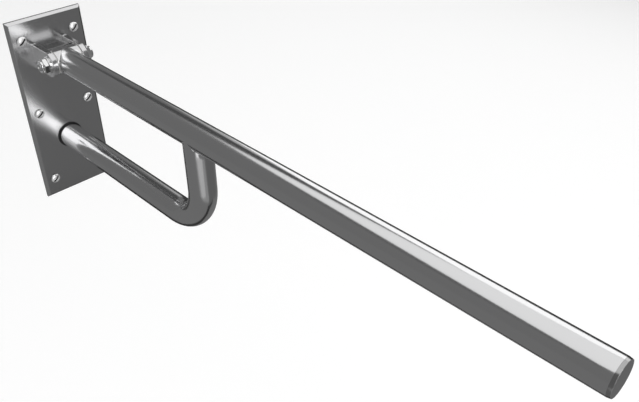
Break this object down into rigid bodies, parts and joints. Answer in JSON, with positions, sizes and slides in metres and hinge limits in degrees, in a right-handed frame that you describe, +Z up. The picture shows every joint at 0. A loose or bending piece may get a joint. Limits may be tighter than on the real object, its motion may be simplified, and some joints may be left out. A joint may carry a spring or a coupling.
{
  "type": "fold-up grab bar",
  "caption": "Wall-mounted grab bar that hinges upwards: straight tube with a bent brace below, on an upright plate.",
  "frame": {"origin": "centre of the wall plate's back face", "axes": "+Y into the wall, +Z up, +X to the right as seen from the room; the bar reaches out along -Y"},
  "size_m": [0.1, 0.7854, 0.25],
  "materials": {
    "plate_steel": "satin",
    "tube_steel": "satin",
    "screw_steel": "polished",
    "weld_steel": "ground",
    "lock_plastic": "moulded",
    "bearing_plastic": "moulded",
    "bumper_rubber": "moulded"
  },
  "bodies": {
    "wall_bracket": {"wall_plate": "plate_steel", "wall_screws": "screw_steel", "hinge_cheek_right": "plate_steel", "hinge_cheek_left": "plate_steel", "hinge_web": "plate_steel", "cheek_welds": "weld_steel", "pivot_bolt": "screw_steel", "pivot_washers": "screw_steel", "pivot_nuts": "screw_steel", "nut_inserts": "lock_plastic"},
    "arm": {"hinge_barrel": "tube_steel", "barrel_bush_right": "bearing_plastic", "barrel_bush_left": "bearing_plastic", "grab_tube": "tube_steel", "barrel_weld": "weld_steel", "end_cap": "tube_steel", "brace_tube": "tube_steel", "brace_weld": "weld_steel", "brace_insert": "screw_steel", "wall_bumper": "bumper_rubber", "bumper_screw": "screw_steel"}
  },
  "joints": [
    {"name": "fold", "type": "hinge", "parent": "wall_bracket", "child": "arm", "pos_m": [0, -0.0407, 0.0762], "axis": [-1, 0, 0], "range_deg": [0, 90]}
  ]
}
